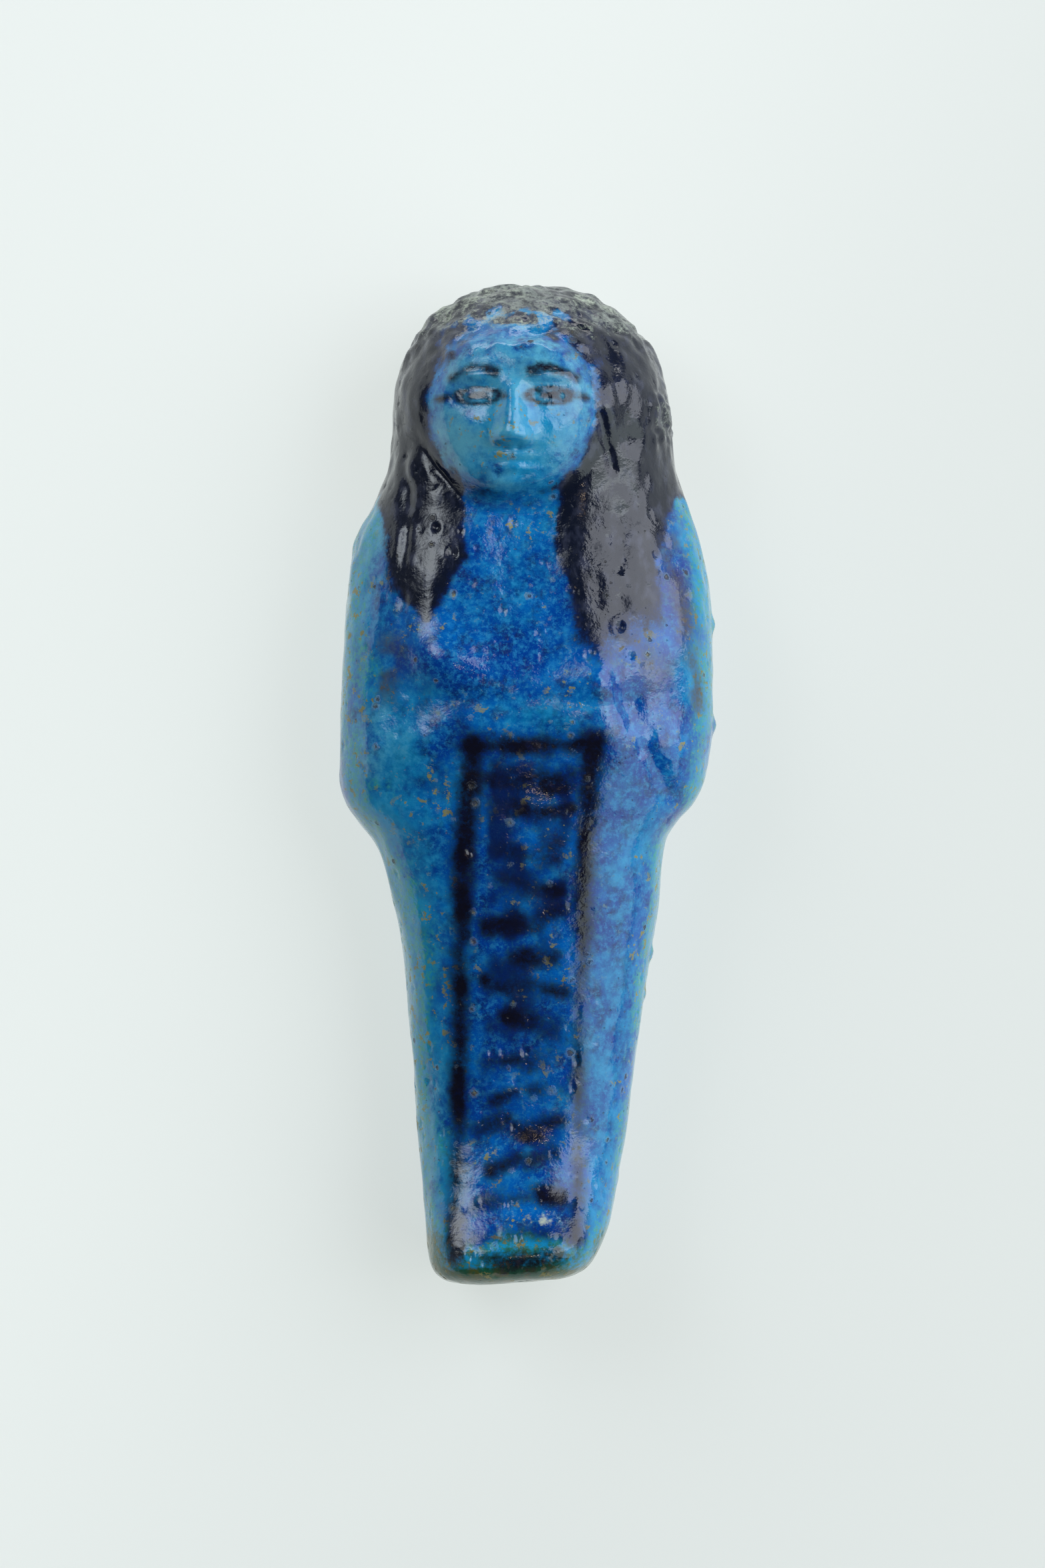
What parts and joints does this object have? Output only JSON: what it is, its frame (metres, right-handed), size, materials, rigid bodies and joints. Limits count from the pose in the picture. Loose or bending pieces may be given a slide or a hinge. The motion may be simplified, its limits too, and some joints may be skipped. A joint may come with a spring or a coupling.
{
  "type": "ushabti figurine",
  "caption": "Mummiform servant figurine in blue glazed ware with a dark painted wig and a framed column of painted strokes down the legs, lying on its flat back.",
  "frame": {"origin": "on the resting plane under the flat back, at the middle of the length and of the width", "axes": "+Y from the feet to the head, +Z from the back to the face, +X to the figure's own left"},
  "size_m": [0.0416, 0.11, 0.027],
  "materials": {
    "blue_glaze": "glossy"
  },
  "bodies": {
    "root": {"ushabti": "blue_glaze"}
  },
  "joints": []
}
